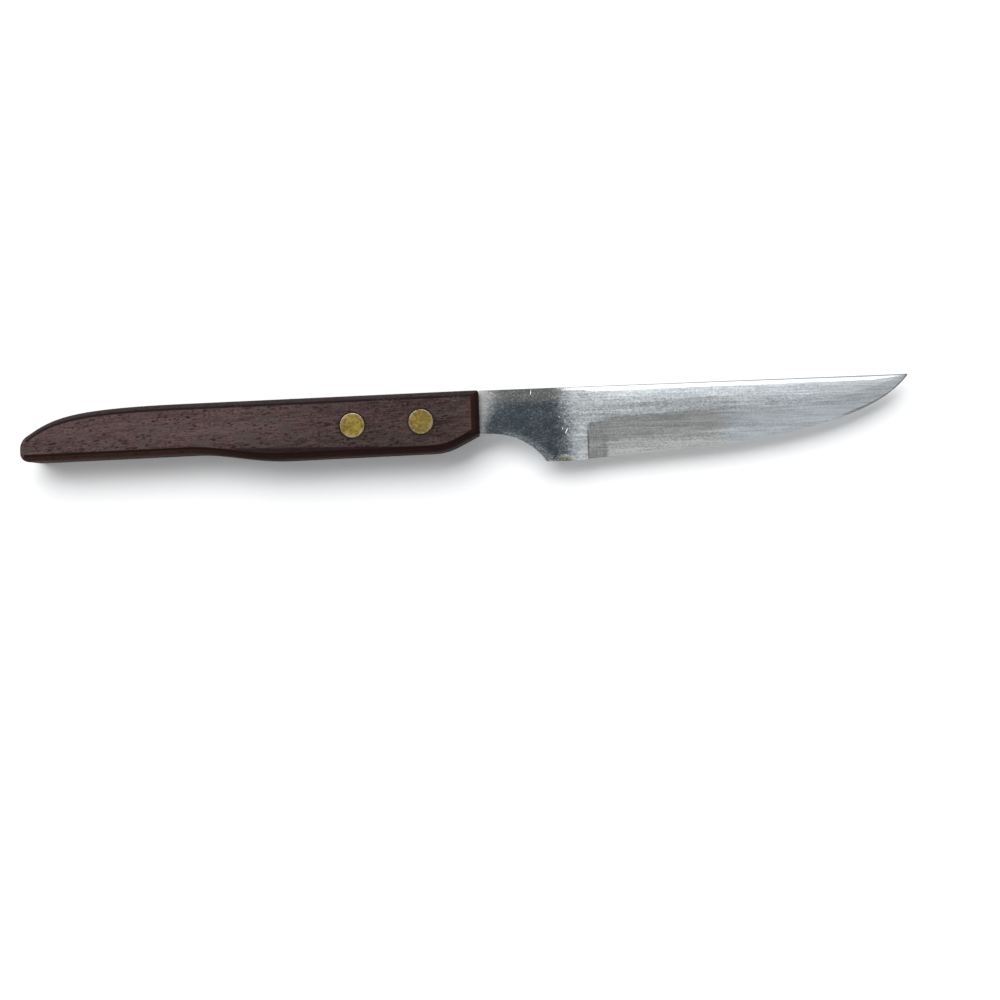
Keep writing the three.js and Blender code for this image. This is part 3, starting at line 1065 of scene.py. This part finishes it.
@dataclass
class Rivet:
    """A two-piece cutler's rivet: a headed post pressed into a headed tube."""

    name: str
    axis: Place
    tarnish: float
    face: float = 4.97
    head_radius: float = 2.9
    head_thickness: float = 1.2
    tube_radius: float = 1.8
    post_radius: float = 1.1
    bore_gap: float = 0.06
    end_gap: float = 0.25
    rim_width: float = 0.42
    dish: float = 0.006
    corner: float = 0.07
    sides: int = 96

    @property
    def seat(self) -> float:
        """Height of the heads' inner faces, from the middle of the steel."""
        return self.face - self.head_thickness

    def head(self) -> list[Place]:
        """A head's outline from its inner face out and over the rim to its middle."""
        radius, top = self.head_radius, self.face
        inside = radius - self.rim_width
        return [
            (radius, self.seat),
            (radius, top - 1.6 * self.corner),
            (radius - 0.4 * self.corner, top - 0.6 * self.corner),
            (radius - 1.4 * self.corner, top - 0.1 * self.corner),
            (radius - 2.2 * self.corner, top),
            (inside + 0.8 * self.corner, top - 0.1 * self.corner),
            (inside, top - self.dish),
            (inside - self.corner, top - 1.1 * self.dish),
            (0.5 * radius, top - 0.8 * self.dish),
            (0.1 * radius, top - 0.6 * self.dish),
        ]

    def build_post(self, origin: Vector) -> bpy.types.Object:
        """Turns the post, whose head shows on the upper side.

        Args:
            origin: The knife frame's origin in the CAD frame.

        Returns:
            The post.
        """
        tip = self.end_gap - self.seat
        shank = [
            (self.post_radius - self.corner, tip),
            (self.post_radius, tip + self.corner),
            (self.post_radius, self.seat),
        ]
        bench = Bench.turned(f"{self.name}_post", self.axis, shank + self.head(), self.sides)
        return bench.finish(origin)

    def build_tube(self, origin: Vector) -> bpy.types.Object:
        """Turns the tube, whose head shows on the lower side.

        Args:
            origin: The knife frame's origin in the CAD frame.

        Returns:
            The tube.
        """
        bore = self.post_radius + self.bore_gap
        mouth = self.seat - self.end_gap
        head = [(radius, -height) for radius, height in reversed(self.head())]
        tube = [
            (self.tube_radius, -self.seat),
            (self.tube_radius, mouth - self.corner),
            (self.tube_radius - self.corner, mouth),
            (bore, mouth),
            (bore, -self.seat),
        ]
        bench = Bench.turned(f"{self.name}_tube", self.axis, head + tube, self.sides)
        return bench.finish(origin)

    def cutter(self, clearance: float, flare: float) -> Bench:
        """A cutting piece for the bore and for the counterbores of both heads.

        Args:
            clearance: Gap around the tube and the heads.
            flare: How far the mouth of a counterbore opens.

        Returns:
            The bench with the cutting piece.
        """
        overshoot = 0.5
        bore = self.tube_radius + clearance
        head = self.head_radius + clearance
        surface = self.face + clearance
        upper = [
            (bore, self.seat),
            (head, self.seat),
            (head, surface - flare),
            (head + flare, surface),
            (head + flare + overshoot, surface + overshoot),
        ]
        lower = [(radius, -height) for radius, height in reversed(upper)]
        return Bench.turned(f"{self.name}_cutter", self.axis, lower + upper, self.sides)

    def hole_cutter(self, clearance: float, reach: float) -> Bench:
        """A plain cutting piece for the tang's hole, twice as high as its reach."""
        profile = [(self.tube_radius + clearance, height) for height in (-reach, reach)]
        return Bench.turned(f"{self.name}_hole", self.axis, profile, self.sides)

    def dress(self, knife: KnifeFrame) -> None:
        """Builds the post and the tube, and finishes them in brass.

        Args:
            knife: The knife's frame.
        """
        brass = RivetBrass().material(knife, self)
        halves = {"post": self.build_post(knife.origin), "tube": self.build_tube(knife.origin)}
        for half, piece in halves.items():
            install(piece, brass, f"{self.name}_rivet_{half}")


@dataclass
class Handle:
    """One-piece wooden handle, sawn for the tang and counterbored for the rivets."""

    length: float = 108.4
    thickness: float = 10.0
    edge_round: float = 1.75
    front_round: float = 2.0
    front_drop: float = 0.2
    front_depth: float = 10.4
    nose_depth: float = 14.45
    nose_run: float = 8.1
    nose_round: float = 3.4
    belly_depth: float = 14.8
    belly_setback: float = 46.0
    belly_ease: float = 9.0
    waist_depth: float = 12.6
    waist_setback: float = 68.0
    waist_ease: float = 7.0
    tail_depth: float = 13.0
    tail_run: float = 39.1
    tail_dip: float = 0.66
    tail_ease: float = 27.2
    butt_slope: float = 32.5
    butt_ease: float = 7.6
    butt_depth: float = 7.9
    butt_crown: float = 3.5
    butt_radius: float = 2.0
    corner_round: float = 0.5
    corner_angle: float = 35.0
    slot_length: float = 39.4
    slot_clearance: float = 0.06
    rivet_clearance: float = 0.08
    rivet_flare: float = 0.12
    scuffs: Sequence[Scuff] = (
        Scuff((-56.4, -3.4), (2.6, 2.4), 0.32),
        Scuff((-6.0, -2.2), (3.6, 1.5), 0.30),
        Scuff((-21.5, -2.0), (4.5, 0.9), 0.22),
    )

    @cached_property
    def fall(self) -> Curve:
        """The back edge where it falls to the butt."""
        start = Vector((self.tail_run - self.length, -self.tail_dip))
        drop = (self.tail_dip - self.front_drop) / (self.length - self.tail_run) * self.tail_ease
        angle = math.radians(self.butt_slope)
        slope = Vector((math.cos(angle), math.sin(angle)))
        end = Vector((-self.length, -self.butt_depth)) + slope * self.top_trim
        return Curve(start, start - Vector((self.tail_ease, drop)), end + slope * self.butt_ease, end)

    @property
    def top_trim(self) -> float:
        """How far the butt's upper rounding reaches from its corner."""
        return self.butt_crown * math.tan(math.radians(90 - self.butt_slope) / 2)

    @cached_property
    def swell(self) -> Curve:
        """The underside where it swells from the waist to the belly."""
        waist = Vector((-self.waist_setback, -self.waist_depth))
        belly = Vector((-self.belly_setback, -self.belly_depth))
        return Curve(
            waist, waist + Vector((self.waist_ease, 0)), belly - Vector((self.belly_ease, 0)), belly
        )

    @cached_property
    def nose(self) -> Curve:
        """The rounded corner between the underside and the slanted nose."""
        corner = Vector((-self.nose_run, -self.nose_depth))
        slant = Vector((self.nose_run, self.nose_depth - self.front_depth)).normalized()
        start = corner - Vector((self.nose_round, 0))
        end = corner + slant * self.nose_round
        return Curve(start, start.lerp(corner, 2 / 3), end.lerp(corner, 2 / 3), end)

    def top(self, x: float) -> float:
        """Height of the back edge.

        Args:
            x: Place along the handle.

        Returns:
            Height above the spine line, negative below it.
        """
        if x >= self.fall.start.x:
            return -self.front_drop + (self.front_drop - self.tail_dip) * x / self.fall.start.x
        if x >= self.fall.end.x:
            return self.fall.height_at(x)
        return self.fall.end.y + (x - self.fall.end.x) * math.tan(math.radians(self.butt_slope))

    def bottom(self, x: float) -> float:
        """Height of the underside.

        Args:
            x: Place along the handle.

        Returns:
            Height above the spine line, negative below it.
        """
        butt = Vector((-self.length, -self.tail_depth))
        corners = [
            butt,
            self.swell.start,
            self.swell.end,
            self.nose.start,
            self.nose.end,
            Vector((0, -self.front_depth)),
        ]
        curves = {1: self.swell, 3: self.nose}
        index = next(i for i in range(len(corners) - 1) if x <= corners[i + 1].x)
        if index in curves:
            return curves[index].height_at(x)
        start, end = corners[index], corners[index + 1]
        return start.y + (end.y - start.y) * (x - start.x) / (end.x - start.x)

    def ribs(self) -> list[list[Vector]]:
        """Upright ribs of the flat side, from the front face to the butt."""
        stations = 84
        front_margin, butt_margin = 1.5, 2.1
        first = -front_margin * self.front_round
        last = -self.length + butt_margin * self.butt_radius
        places = [0.0, *between(first, last, stations), -self.length]
        return [[Vector((x, self.top(x), 0)), Vector((x, self.bottom(x), 0))] for x in places]

    def round_butt(self, bench: Bench) -> None:
        """Rounds the two corners of the butt.

        Args:
            bench: The bench with the flat side.
        """
        segments = 8
        end = -self.length + 0.01
        middle = -(self.butt_depth + self.tail_depth) / 2
        for above, reach in ((True, self.top_trim), (False, self.butt_radius)):
            bench.select(
                Element.POINT,
                lambda point: point.co.x < end and (point.co.y > middle) == above,
            )
            bpy.ops.mesh.bevel(offset=reach, segments=segments, affect="VERTICES")

    def round_edges(self, bench: Bench) -> None:
        """Rounds every outer edge over, a little further at the front.

        Args:
            bench: The bench with the board.
        """
        segments = 7
        level, upright = 0.9, 0.1
        front = -1.01 * self.edge_round

        def outer(line: Any) -> bool:
            """Tells an edge between a side and the rim."""
            tilts = [abs(face.normal.z) for face in line.link_faces]
            return len(tilts) == 2 and max(tilts) > level and min(tilts) < upright

        bench.select(Element.LINE, outer)
        bpy.ops.mesh.bevel(
            offset=self.edge_round, segments=segments, profile=0.5, affect="EDGES", clamp_overlap=False
        )
        bench.select(Element.POINT, lambda point: point.co.x > front)
        bench.scale((self.front_round / self.edge_round, 1, 1), (0, 0, 0))

    def build(self, origin: Vector, steel: float, rivets: "Sequence[Rivet]") -> bpy.types.Object:
        """Models the handle.

        Args:
            origin: The knife frame's origin in the CAD frame.
            steel: Thickness of the tang.
            rivets: The rivets that it takes.

        Returns:
            The handle.
        """
        margin = 3.0
        corner_segments = 3
        bench = Bench.ribbed("wooden_handle", self.ribs())
        self.round_butt(bench)
        bpy.ops.mesh.select_all(action="SELECT")
        bpy.ops.transform.translate(value=(0, 0, -self.thickness / 2))
        bench.extrude((0, 0, self.thickness))
        bench.close()
        self.round_edges(bench)
        bench.close()
        bench.modify(
            "BEVEL",
            width=self.corner_round,
            segments=corner_segments,
            limit_method="ANGLE",
            use_clamp_overlap=False,
            angle_limit=math.radians(self.corner_angle),
        )
        half_slot = steel / 2 + self.slot_clearance
        low = Vector((-self.slot_length, -self.belly_depth - margin, -half_slot))
        high = Vector((margin, margin, half_slot))
        bench.cut(Bench.block("slot_cutter", low, high))
        for rivet in rivets:
            bench.cut(rivet.cutter(self.rivet_clearance, self.rivet_flare))
        return bench.finish(origin)

    def dress(self, knife: KnifeFrame, steel: float, rivets: "Sequence[Rivet]") -> None:
        """Builds the handle for a tang of this thickness and finishes it in wood."""
        wood = Rosewood().material(knife, self, rivets)
        install(self.build(knife.origin, steel, rivets), wood, "handle")


@dataclass
class Blade:
    """Hollow-ground blade with its choil, ricasso and short tang, one piece of sheet steel."""

    length: float = 101.0
    thickness: float = 1.5
    tang_length: float = 39.1
    tang_sink: float = 0.03
    heel_depth: float = 17.4
    heel_end: float = 21.2
    choil_radius: float = 16.2
    choil_crown: float = 2.2
    belly_start: float = 49.0
    edge_depth: float = 15.2
    edge_ease: float = 18.2
    edge_rise: float = 4.1
    point_ease: float = 12.5
    point_rise: float = 51.6
    tip_height: float = 0.4
    plunge_x: float = 25.3
    plunge_run: float = 0.32
    # Reach and fade of the strip behind the plunge that gets painted shade.
    shade_strip_reach: float = 5.2
    shade_strip_fade: float = 1.0
    grind_depth: float = 6.6
    plunge_dip: float = 2.4
    plunge_fade: float = 10.0
    grind_full: float = 12.0
    grind_climb: float = 1.5
    grind_share: float = 0.3
    grind_hollow: float = 0.12
    grind_height: float = 8.6
    taper_start: float = 66.0
    taper: float = 0.5
    edge_thickness: float = 0.2
    honed_height: float = 0.38
    honed_thickness: float = 0.04
    spine_bevel_width: float = 1.1
    spine_bevel_depth: float = 0.3
    spine_bevel_start: float = 18.0
    spine_bevel_run: float = 9.0
    spine_bevel_share: float = 0.16
    arris: float = 0.06
    crease: float = 0.2
    satin_start: float = 16.6
    rust_centre: Place = (19.3, -17.4)
    rust_reach: Place = (4.2, 1.9)
    scratches: Sequence[Scratch] = (
        Scratch((18.5, -6.7), (19.0, -7.1)),
        Scratch((19.6, -9.2), (19.4, -10.1), 0.12),
        Scratch((20.75, -9.6), (20.1, -10.9), 0.2),
        Scratch((19.9, -7.5), (20.4, -8.7), 0.12),
        Scratch((12.4, -0.2), (12.15, -1.5), 0.2),
        Scratch((12.2, -12.55), (15.9, -12.75), 0.1, 0.12),
    )

    @property
    def half(self) -> float:
        """Half the sheet's thickness."""
        return self.thickness / 2

    def grind_line(self, along: Wire) -> Wire:
        """Depth of the grind's upper limit, as a shader value."""
        fade = (self.plunge_x - along) * (1 / self.plunge_fade)
        return self.grind_depth + self.plunge_dip * fade.math("EXPONENT", fade)

    def streaked_shade_strip(self, along: Wire) -> Wire:
        """1 on the strip that follows the plunge, which gets painted shade and streaks, as a shader
        value.
        """
        end = self.plunge_x + self.shade_strip_reach
        return along.rise(end, end - self.shade_strip_fade)

    def straight_edge(self, along: Wire) -> Wire:
        """Depth of the straight part of the cutting edge, as a shader value."""
        slope = (self.heel_depth - self.edge_depth) / (self.belly.start.x - self.heel_end)
        return self.heel_depth + slope * self.heel_end - slope * along

    def tip_edge(self, along: Wire) -> Wire:
        """Depth of the cutting edge near the tip, as a shader value: a cubic through four points.

        Args:
            along: Place along the blade.

        Returns:
            The depth.
        """
        reaches = (3.0, 8.0, 17.0)
        rises = [-self.belly.height_at(self.length - reach) - self.tip_height for reach in reaches]
        powers = Matrix([(reach, reach**2, reach**3) for reach in reaches])
        first, second, third = powers.inverted() @ Vector(rises)
        back = self.length - along
        return self.tip_height + back * (first + back * (second + third * back))

    @cached_property
    def choil_centre(self) -> Place:
        """Centre of the round cut-out in front of the handle."""
        return (self.choil_crown, -Handle().front_depth - self.choil_radius)

    @cached_property
    def belly(self) -> Curve:
        """The curved part of the cutting edge, up to the tip."""
        rise, point = math.radians(self.edge_rise), math.radians(self.point_rise)
        start = Vector((self.length - self.belly_start, -self.edge_depth))
        end = Vector((self.length, -self.tip_height))
        return Curve(
            start,
            start + self.edge_ease * Vector((math.cos(rise), math.sin(rise))),
            end - self.point_ease * Vector((math.cos(point), math.sin(point))),
            end,
        )

    @cached_property
    def heel_x(self) -> float:
        """Where the choil runs out into the heel."""
        centre_x, centre_y = self.choil_centre
        return centre_x + math.sqrt(self.choil_radius**2 - (self.heel_depth + centre_y) ** 2)

    def bottom(self, x: float, handle: Handle) -> float:
        """Height of the lower outline of tang, choil, heel and cutting edge.

        Args:
            x: Place along the blade.
            handle: The handle, whose outline the tang fills.

        Returns:
            Height above the spine line, negative below it.
        """
        if x <= 0:
            return handle.bottom(x) + self.tang_sink
        if x <= self.choil_crown:
            return -handle.front_depth
        if x <= self.heel_x:
            centre_x, centre_y = self.choil_centre
            return centre_y + math.sqrt(self.choil_radius**2 - (x - centre_x) ** 2)
        if x <= self.heel_end:
            return -self.heel_depth
        if x <= self.belly.start.x:
            share = (x - self.heel_end) / (self.belly.start.x - self.heel_end)
            return -self.heel_depth + share * (self.heel_depth - self.edge_depth)
        return self.belly.height_at(x)

    def top(self, x: float, handle: Handle) -> float:
        """Height of the upper outline of tang and spine, negative below the spine line."""
        return handle.top(x) - self.tang_sink if x < 0 else 0.0

    def stations(self) -> list[float]:
        """Places of the ribs, closer together where the outline or the grind turns."""
        tang_count, choil_count, heel_count, straight_count, belly_count = 30, 16, 8, 26, 44
        wall_end = self.plunge_x + self.plunge_run
        last_angle = math.asin((self.heel_x - self.choil_crown) / self.choil_radius)
        angles = between(0.0, last_angle, choil_count)
        choil = [self.choil_crown + self.choil_radius * math.sin(angle) for angle in angles]
        heel = between(self.heel_x, self.plunge_x - self.crease, heel_count)
        plunge = [self.plunge_x, wall_end, wall_end + self.crease]
        straight = between(wall_end + 1, self.belly.start.x, straight_count)
        belly = [self.belly.point(share).x for share in between(0.0, 1.0, belly_count)]
        tang = between(-self.tang_length, -self.arris, tang_count)
        return [*tang, 0.0, *choil, *heel[1:], *plunge, *straight, *belly[1:]]

    def rib(self, x: float, handle: Handle) -> list[Vector]:
        """Half the blade's section, from the middle of the spine over the upper side to the edge.

        Args:
            x: Place along the blade.
            handle: The handle, whose outline the tang fills.

        Returns:
            The section's points.
        """
        top, bottom = self.top(x, handle), self.bottom(x, handle)
        depth = top - bottom
        tight = min(1.0, depth / self.edge_depth)
        crease, arris = self.crease * tight, self.arris * tight
        grown = min(1.0, max(0.0, (x - self.spine_bevel_start) / self.spine_bevel_run))
        widest = self.spine_bevel_share * depth
        width = min(max(self.spine_bevel_width * grown, 4 * self.crease), widest)
        drop = grown * width * self.spine_bevel_depth / self.spine_bevel_width
        slope = drop / width
        dip = self.plunge_dip * math.exp(min(0.0, (self.plunge_x - x) / self.plunge_fade))
        climb = min(1.0, depth / self.grind_full) ** self.grind_climb
        line = max((self.grind_depth + dip) * climb, self.grind_share * depth)
        thin = max(0.0, (x - self.taper_start) / (self.length - self.taper_start))
        half = self.half * (1 - self.taper * thin)
        section = [
            (0.0, 0.0),
            (0.0, half - drop - arris),
            (arris, half - drop + slope * arris),
            (width - crease, half - slope * crease),
            (width, half),
            (width + crease, half),
            (line - crease, half),
            (line, half),
        ]
        ground = x > self.plunge_x
        honed = self.honed_height * tight if ground else arris
        rows = (0.03, 0.15, 0.3, 0.45, 0.6, 0.75, 0.9, 1.0)
        shoulder = depth - honed
        sag = 4 * self.grind_hollow * ((shoulder - line) / self.grind_height) ** 2
        for share in rows:
            straight = half + (self.edge_thickness / 2 - half) * share
            hollow = straight - sag * share * (1 - share)
            section.append((line + (shoulder - line) * share, hollow if ground else half))
        foot = self.honed_thickness / 2 if ground else half - arris
        section += [(depth, foot), (depth, 0.0)]
        return [Vector((x, top - fall, height)) for fall, height in section]

    def build(self, origin: Vector, handle: Handle, rivets: "Sequence[Rivet]") -> bpy.types.Object:
        """Models the blade.

        Args:
            origin: The knife frame's origin in the CAD frame.
            handle: The handle, whose outline the tang fills.
            rivets: The rivets that hold the tang.

        Returns:
            The blade.
        """
        seam = 1e-5
        bench = Bench.ribbed("steel_blade", [self.rib(x, handle) for x in self.stations()])
        bench.modify("MIRROR", use_axis=(False, False, True), merge_threshold=seam)
        bench.close()
        for rivet in rivets:
            bench.cut(rivet.hole_cutter(handle.rivet_clearance, self.thickness))
        return bench.finish(origin)

    def dress(self, knife: KnifeFrame, handle: Handle, rivets: "Sequence[Rivet]") -> None:
        """Builds the blade with its tang in the handle and finishes it in steel."""
        steel = BladeSteel().material(knife, self)
        install(self.build(knife.origin, handle, rivets), steel, "blade")


def install(piece: bpy.types.Object, material: bpy.types.Material, node: str) -> None:
    """Finishes a piece and puts it in its CAD node's place.

    Args:
        piece: The finished piece.
        material: Its material.
        node: The CAD node that it stands for.
    """
    piece.data.materials.clear()
    piece.data.materials.append(material)
    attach(piece, BODY)
    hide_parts(node)
    log.info("%s stands for %s: %d faces", piece.name, node, len(piece.data.polygons))


@dataclass(frozen=True)
class Softbox:
    """A large soft lamp that faces the knife."""

    name: str
    tilt: float
    bearing: float
    distance: float
    width: float
    height: float
    radiance: float
    colour: Colour = (1.0, 1.0, 1.0)

    def hang(self, aim: Vector) -> None:
        """Hangs the lamp.

        Args:
            aim: The point that it faces.
        """
        tilt, bearing = math.radians(self.tilt), math.radians(self.bearing)
        towards = Vector(
            (math.sin(tilt) * math.sin(bearing), math.sin(tilt) * math.cos(bearing), math.cos(tilt))
        )
        bpy.ops.object.light_add(type="AREA", location=aim + towards * self.distance)
        lamp = bpy.context.object
        lamp.name = self.name
        lamp.rotation_euler = towards.to_track_quat("Z", "Y").to_euler()
        lamp.data.shape = "RECTANGLE"
        lamp.data.size = self.width
        lamp.data.size_y = self.height
        lamp.data.color = self.colour
        lamp.data.energy = self.radiance * math.pi * self.width * self.height


@dataclass
class Studio:
    """Camera, table and light around the knife. Places are in the CAD frame, in millimetres."""

    camera_place: Sequence[float] = (12.06, -20.0, 247.88)
    camera_aim: Sequence[float] = (7.70, -17.31, 0.0)
    camera_roll: float = 2.169
    focal_pixels: float = 1025.0
    image_pixels: float = 1000.0
    sensor: float = 36.0
    clip_start: float = 0.01
    table_size: float = 6.0
    table_colour: Colour = (0.93, 0.93, 0.93)
    table_glow: float = 0.09
    ceiling_dark: Colour = (0.066, 0.078, 0.091)
    ceiling: Colour = (0.47, 0.488, 0.507)
    walls: Colour = (0.70, 0.70, 0.69)
    far_wall: Colour = (0.22, 0.21, 0.20)
    fill: Colour = (0.75, 0.75, 0.75)
    far_side: Span = (0.15, 0.75)
    ceiling_edge: Span = (0.30, 0.75)
    overhead: Span = (0.955, 0.985)
    softboxes: Sequence[Softbox] = (
        Softbox(
            "window", tilt=38.0, bearing=-24.0, distance=2.0, width=2.6, height=1.35, radiance=4.6
        ),
    )

    def set_camera(self) -> None:
        """Sets the camera over the knife at the photograph's view."""
        place, aim = Vector(self.camera_place) * MM, Vector(self.camera_aim) * MM
        forwards = (aim - place).normalized()
        level = Vector((0, 1, 0))
        upright = (level - forwards * level.dot(forwards)).normalized()
        sideways = forwards.cross(upright)
        roll = math.radians(self.camera_roll)
        up = upright * math.cos(roll) + sideways * math.sin(roll)
        bpy.ops.object.camera_add(location=place)
        camera = bpy.context.object
        turn = Matrix((forwards.cross(up), up, -forwards)).transposed()
        camera.matrix_world = Matrix.Translation(place) @ turn.to_4x4()
        camera.data.sensor_width = self.sensor
        camera.data.lens = self.sensor * self.focal_pixels / self.image_pixels
        camera.data.clip_start = self.clip_start
        bpy.context.scene.camera = camera

    def seen(self, wiring: Wiring) -> Wire:
        """1 for what the camera sees, itself or in metal or glass, and 0 for light."""
        rays = wiring.node("ShaderNodeLightPath", output="Is Camera Ray")
        return rays.most(rays.output("Is Glossy Ray")).most(rays.output("Is Transmission Ray"))

    def lay_table(self) -> None:
        """Lays the pale table, which keeps the knife's shadow."""
        bpy.ops.object.select_all(action="DESELECT")
        bpy.ops.mesh.primitive_plane_add(size=self.table_size)
        table = bpy.context.object
        table.name = "table"
        material, wiring = new_material("table")
        matt = wiring.node("ShaderNodeBsdfDiffuse", {}, {"Color": self.table_colour})
        glow = wiring.node("ShaderNodeEmission", {}, {"Strength": self.table_glow})
        pale = wiring.node("ShaderNodeAddShader", {}, {0: matt, 1: glow})
        wiring.surface(
            "ShaderNodeMixShader", {0: self.seen(wiring), 1: matt, 2: pale}, "ShaderNodeOutputMaterial"
        )
        table.data.materials.append(material)

    def light_room(self) -> None:
        """Lights the room: pale walls, a dim ceiling that is darkest overhead, and softboxes."""
        world = bpy.data.worlds.new("room")
        bpy.context.scene.world = world
        world.use_nodes = True
        wiring = Wiring(world.node_tree)
        towards = wiring.node("ShaderNodeTexCoord", output="Generated")
        height = wiring.part(towards, "Z")
        shade = wiring.part(towards, "X").rise(*self.far_side)
        walls = wiring.mix(shade, self.walls, self.far_wall)
        colour = wiring.mix(height.rise(*self.ceiling_edge), walls, self.ceiling)
        colour = wiring.mix(height.rise(*self.overhead), colour, self.ceiling_dark)
        dimmed = wiring.vector("MULTIPLY", colour, self.fill)
        colour = wiring.mix(self.seen(wiring), dimmed, colour)
        wiring.surface("ShaderNodeBackground", {"Color": colour}, "ShaderNodeOutputWorld")
        for softbox in self.softboxes:
            softbox.hang(Vector((0, 0, 0)))

    def build(self) -> None:
        """Sets up the view, the table and the light."""
        bpy.context.scene.view_settings.view_transform = "Standard"
        self.set_camera()
        self.lay_table()
        self.light_room()


def main() -> None:
    """Builds the knife around its CAD frame, and the studio around the knife."""
    logging.basicConfig(level=logging.INFO, format="%(name)s: %(message)s")
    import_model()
    knife = KnifeFrame.from_cad()
    rivets = (
        Rivet("front", (-13.55, -7.2), tarnish=0.85),
        Rivet("rear", (-29.6, -7.45), tarnish=0.2),
    )
    handle = Handle()
    blade = Blade()
    handle.dress(knife, blade.thickness, rivets)
    blade.dress(knife, handle, rivets)
    for rivet in rivets:
        rivet.dress(knife)
    Studio().build()


if __name__ == "__main__":
    main()
